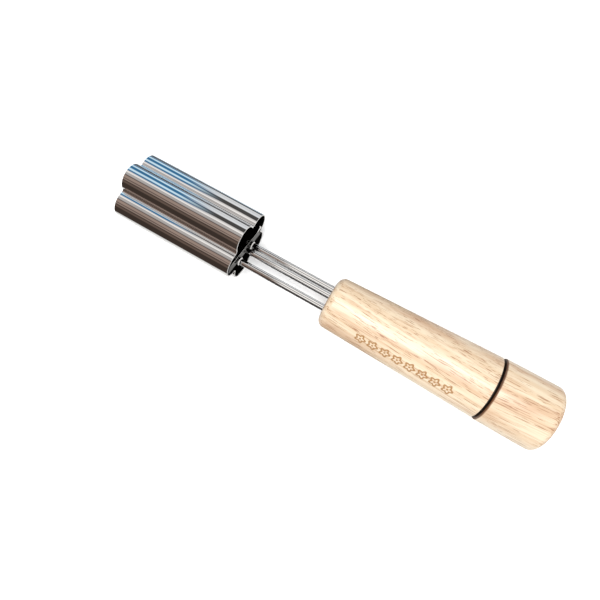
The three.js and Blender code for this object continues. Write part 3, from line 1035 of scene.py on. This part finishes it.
def add_room():
    world = bpy.data.worlds.new("studio")
    bpy.context.scene.world = world
    world.use_nodes = True
    world.node_tree.nodes.clear()
    nodes = Nodes(world.node_tree)
    direction = nodes.add("ShaderNodeTexCoord").outputs["Generated"]
    along, across, up = nodes.parts(direction)
    waver = nodes.noise(nodes.stretched(direction, scale=(7, 2.4, 2.4)), 1.0, detail=2.0)
    degrees = nodes.math("MULTIPLY", nodes.math("ARCTAN2", up, across), 360 / tau)
    degrees = nodes.math("MULTIPLY_ADD", nodes.math("SUBTRACT", waver, 0.5), WAVER, degrees)
    lean = nodes.math("MULTIPLY", along, -1.0)
    room = furnish(nodes, degrees, WOOD_UMBER, ALL_ROUND)
    steps = nodes.math("MULTIPLY", degrees, STREAKS_PER_DEGREE)
    uneven = nodes.add("ShaderNodeCombineXYZ", {"X": steps, "Y": along}).outputs[0]
    streak = nodes.noise(uneven, 1.0, detail=3.0, roughness=0.6)
    room = nodes.mix(nodes.ease(streak, 0.45, 0.7, 0.0, STREAK_DEPTH), room, WOOD_UMBER)
    overhead = furnish(nodes, degrees, room, OVERHEAD)
    room = nodes.mix(nodes.ease(lean, *OVERHEAD_ENDS), overhead, room)
    window = furnish(nodes, degrees, room, WINDOW)
    room = nodes.mix(nodes.ease(lean, *WINDOW_STARTS), room, window)
    room = nodes.mix(nodes.ease(lean, *BEHIND_ENDS), BEHIND, room)
    reflected = nodes.add("ShaderNodeBackground", {"Color": room, "Strength": 1.0}).outputs[0]
    daylight = nodes.add("ShaderNodeBackground", {"Color": (1, 1, 1, 1), "Strength": DAYLIGHT}).outputs[0]
    plain = nodes.add("ShaderNodeBackground", {"Color": (1, 1, 1, 1), "Strength": 1.0}).outputs[0]
    ray = nodes.add("ShaderNodeLightPath").outputs
    light = nodes.add("ShaderNodeMixShader", {0: ray["Is Glossy Ray"], 1: daylight, 2: reflected}).outputs[0]
    seen = nodes.add("ShaderNodeMixShader", {0: ray["Is Camera Ray"], 1: light, 2: plain}).outputs[0]
    nodes.add("ShaderNodeOutputWorld", {"Surface": seen})


FLOOR_REACH = 4.0  # from the middle to each edge
FLOOR_DROP = 0.05 * MM


def add_floor():
    """A white sheet. Polished steel sees the room's own floor colours in its place."""
    reach = FLOOR_REACH
    mesh = bpy.data.meshes.new("white_sheet")
    around = [(-reach, -reach), (reach, -reach), (reach, reach), (-reach, reach)]
    mesh.from_pydata([(x, y, -FLOOR_DROP) for x, y in around], [], [(0, 1, 2, 3)])
    material, nodes, shader, place = new_material("white_paper")
    set_shader(shader, specular_ior_level=0.1, roughness=0.9, emission_strength=0.06)
    shader.inputs["Emission Color"].default_value = (1, 1, 1, 1)
    tone = nodes.mix(nodes.noise(place, 40.0, detail=2.0), paint(249, 249, 249), paint(252, 252, 252))
    nodes.put(shader.inputs["Base Color"], tone)
    floor = show("white_sheet", mesh, material)
    floor.visible_glossy = False
    return floor


KEY_PLACE = Vector((0.02, -0.22, 0.8))
KEY_AIM = Vector((0.03, 0.0, 0.0))
KEY_SIZE = 0.5
KEY_POWER = 8.0


def add_key_light(lit):
    """A softbox overhead for everything but the polished steel, which only mirrors the room."""
    lamp = bpy.data.lights.new("softbox", "AREA")
    lamp.shape = "SQUARE"
    lamp.size = KEY_SIZE
    lamp.energy = KEY_POWER
    key = bpy.data.objects.new("softbox", lamp)
    bpy.context.scene.collection.objects.link(key)
    key.location = KEY_PLACE
    key.rotation_euler = (KEY_AIM - KEY_PLACE).to_track_quat("-Z", "Y").to_euler()
    receivers = bpy.data.collections.new("lit_by_softbox")
    for piece in lit:
        receivers.objects.link(piece)
    key.light_linking.receiver_collection = receivers


def add_camera():
    lens = bpy.data.cameras.new("camera")
    lens.sensor_width = 36
    lens.lens = CAMERA_LENS
    lens.clip_start = 0.01
    camera = bpy.data.objects.new("camera", lens)
    bpy.context.scene.collection.objects.link(camera)
    turn = Matrix.Rotation(CAMERA_AZIMUTH, 4, "Z") @ Matrix.Rotation(pi / 2 - CAMERA_ELEVATION, 4, "X")
    camera.matrix_world = Matrix.Translation(CAMERA_PLACE) @ turn @ Matrix.Rotation(CAMERA_ROLL, 4, "Z")
    bpy.context.scene.camera = camera
    bpy.context.scene.view_settings.view_transform = "Standard"


# The tool

add_camera()
add_room()
floor = add_floor()

polished = mirror_steel()
drawn = rod_steel()
add_sleeve(polished, painted_shade_inside_steel())
add_strap(painted_shade_strap_steel(), polished)
for which in ("upper", "lower"):
    add_support_rod(which, drawn)
    add_collar(which, polished)
add_grip(grip_wood())
add_ring("rod_bush", "guide_bush", "handle", "nylon", nylon(), ROD_RADIUS + SLIDE_CLEARANCE, 0.25 * MM)
add_ejector_plate(polished)
add_plate_screw(drawn)
add_ring("rod_hub", "plate_hub", "plunger", "mirror_steel", polished, ROD_RADIUS + PRESS_CLEARANCE, 0.3 * MM)
add_plunger_rod(drawn)
BUFFER_INNER = 9 * MM
add_ring("rubber_ring", "buffer_ring", "plunger", "black_rubber", black_rubber(), BUFFER_INNER, 0.2 * MM)
INSERT_BORE = ROD_RADIUS + PRESS_CLEARANCE
add_ring("brass_insert", "knob_insert", "plunger", "insert_brass", insert_brass(), INSERT_BORE, 0.2 * MM)
add_knob(knob_wood())

dull = ("wooden_grip", "wooden_knob", "rubber_ring", "rod_bush", "brass_insert")
add_key_light([floor] + [bpy.data.objects[name] for name in dull])
